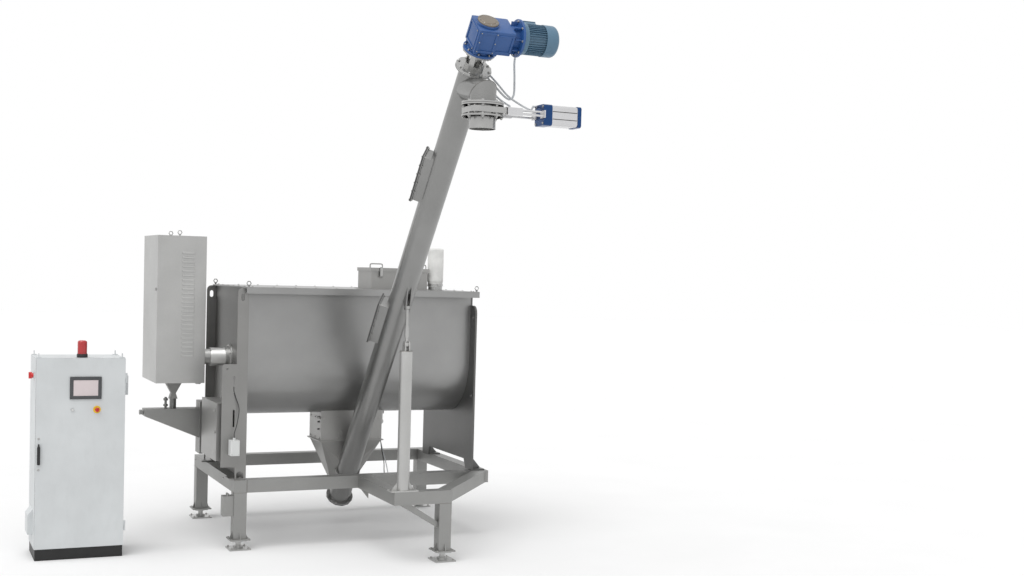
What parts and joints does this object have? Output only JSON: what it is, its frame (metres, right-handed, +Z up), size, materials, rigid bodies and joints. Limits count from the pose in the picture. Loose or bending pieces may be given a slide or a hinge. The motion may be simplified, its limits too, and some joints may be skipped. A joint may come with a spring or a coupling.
{
  "type": "ribbon blender",
  "caption": "Trough mixer with two-way helical ribbons on a driven shaft, fill hopper, flap discharge, inclined screw conveyor with slide-gate outlet and control cabinet.",
  "frame": {"origin": "centre of the underside of the front left foot plate, on the floor", "axes": "+X along the trough from the drive end to the free end, -Y to the operator's side, +Z up"},
  "size_m": [4.4423, 4.6232, 4.7424],
  "materials": {
    "stainless": "satin ground stainless",
    "bright_steel": "polished stainless",
    "stainless_dull": "glass-bead blasted stainless",
    "gear_blue": "blue gloss paint on cast iron",
    "motor_blue": "grey-blue satin paint on finned aluminium",
    "bearing_grey": "dark painted cast housing",
    "cylinder_silver": "anodised aluminium",
    "cabinet_grey": "light grey fine-structure powder coat",
    "black_plastic": "black",
    "cable_black": "black sheath",
    "cable_grey": "grey sheath",
    "sock_cloth": "white filter cloth",
    "red_plastic": "red",
    "beacon_red": "red translucent",
    "button_grey": "light grey"
  },
  "bodies": {
    "machine": {"air_hose_a": "cable_grey", "air_hose_b": "cable_black", "base_frame": "stainless_dull", "beacon_dome": "beacon_red", "bearing_left": "bearing_grey", "bearing_right": "bearing_grey", "cabinet_body": "cabinet_grey", "conveyor_tube": "stainless", "discharge_chute": "stainless", "drive_bracket": "stainless_dull", "drive_cover": "stainless", "drive_gearbox": "gear_blue", "drive_motor": "motor_blue", "end_plate_left": "stainless_dull", "end_plate_right": "stainless_dull", "flap_actuator": "bright_steel", "flap_hose_a": "cable_black", "flap_hose_b": "cable_black", "gate_housing": "stainless", "head_lantern": "stainless", "inlet_hopper": "stainless", "junction_box": "stainless", "load_foot_front_left": "stainless", "load_foot_platform": "stainless", "load_foot_rear_left": "stainless", "load_foot_rear_right": "stainless", "motor_cable": "cable_grey", "outlet_valve_body": "stainless", "outlet_valve_cylinder": "cylinder_silver", "screw_gearbox": "gear_blue", "screw_motor": "motor_blue", "sensor_cable": "cable_black", "sock_clamp": "bright_steel", "support_post": "stainless", "tail_bearing": "bearing_grey", "tie_rod": "stainless", "top_cover": "stainless", "torque_arm": "stainless_dull", "trough_shell": "stainless", "valve_enclosure": "stainless", "vent_collar": "stainless", "vent_sock": "sock_cloth"},
    "agitator": {"agitator_shaft": "bright_steel", "outer_ribbon_left": "bright_steel", "outer_ribbon_right": "bright_steel", "inner_ribbon_left": "bright_steel", "inner_ribbon_right": "bright_steel"},
    "screw": {"conveyor_screw": "bright_steel"},
    "flap": {"discharge_flap": "bright_steel"},
    "valve_blade": {"outlet_valve_blade": "bright_steel"},
    "lid": {"hopper_lid": "stainless"},
    "latch_left": {"lid_latch_left": "bright_steel"},
    "latch_right": {"lid_latch_right": "bright_steel"},
    "cabinet_leaf": {"cabinet_door": "cabinet_grey", "hmi_panel": "black_plastic"},
    "swing_handle": {"door_handle": "black_plastic"},
    "start_button": {"push_button": "button_grey"},
    "stop_button": {"emergency_stop": "red_plastic"},
    "isolator": {"isolator_handle": "red_plastic"},
    "enclosure_leaf": {"enclosure_door": "stainless"}
  },
  "joints": [
    {"name": "agitator_spin", "type": "hinge", "parent": "machine", "child": "agitator", "pos_m": [1.2035, 0.653, 1.77], "axis": [1, 0, 0], "continuous": true},
    {"name": "screw_spin", "type": "hinge", "parent": "machine", "child": "screw", "pos_m": [1.25, 0.84, 0.315], "axis": [0, -0.6338, 0.7735], "continuous": true},
    {"name": "flap_hinge", "type": "hinge", "parent": "machine", "child": "flap", "pos_m": [1.25, 0.8, 1.19964], "axis": [1, 0, 0], "range_deg": [0, 80]},
    {"name": "blade_slide", "type": "slide", "parent": "machine", "child": "valve_blade", "axis": [1, 0, 0], "range_m": [0, 0.21]},
    {"name": "lid_hinge", "type": "hinge", "parent": "machine", "child": "lid", "pos_m": [1.6575, 0.746, 2.6706], "axis": [-1, 0, 0], "range_deg": [0, 100]},
    {"name": "latch_left_hinge", "type": "hinge", "parent": "machine", "child": "latch_left", "pos_m": [1.455, 0.274, 2.5986], "axis": [1, 0, 0], "range_deg": [0, 90]},
    {"name": "latch_right_hinge", "type": "hinge", "parent": "machine", "child": "latch_right", "pos_m": [1.86, 0.274, 2.5986], "axis": [1, 0, 0], "range_deg": [0, 90]},
    {"name": "cabinet_hinge", "type": "hinge", "parent": "machine", "child": "cabinet_leaf", "pos_m": [-1.044, 0, 0.9], "axis": [0, 0, 1], "range_deg": [0, 120]},
    {"name": "handle_hinge", "type": "hinge", "parent": "cabinet_leaf", "child": "swing_handle", "pos_m": [-1.792, -0.026, 1.036], "axis": [-1, 0, 0], "range_deg": [0, 90]},
    {"name": "button_press", "type": "slide", "parent": "cabinet_leaf", "child": "start_button", "axis": [0, 1, 0], "range_m": [0, 0.004], "stiffness_N_per_m": 600, "springref_m": -0.002},
    {"name": "stop_press", "type": "slide", "parent": "cabinet_leaf", "child": "stop_button", "axis": [0, 1, 0], "range_m": [0, 0.006], "stiffness_N_per_m": 900, "springref_m": -0.003},
    {"name": "isolator_turn", "type": "hinge", "parent": "machine", "child": "isolator", "pos_m": [-1.8303, 0.129, 1.64], "axis": [1, 0, 0], "range_deg": [0, 90]},
    {"name": "enclosure_hinge", "type": "hinge", "parent": "machine", "child": "enclosure_leaf", "pos_m": [-0.2056, 0.709, 1.1], "axis": [0, 0, -1], "range_deg": [0, 90]}
  ]
}
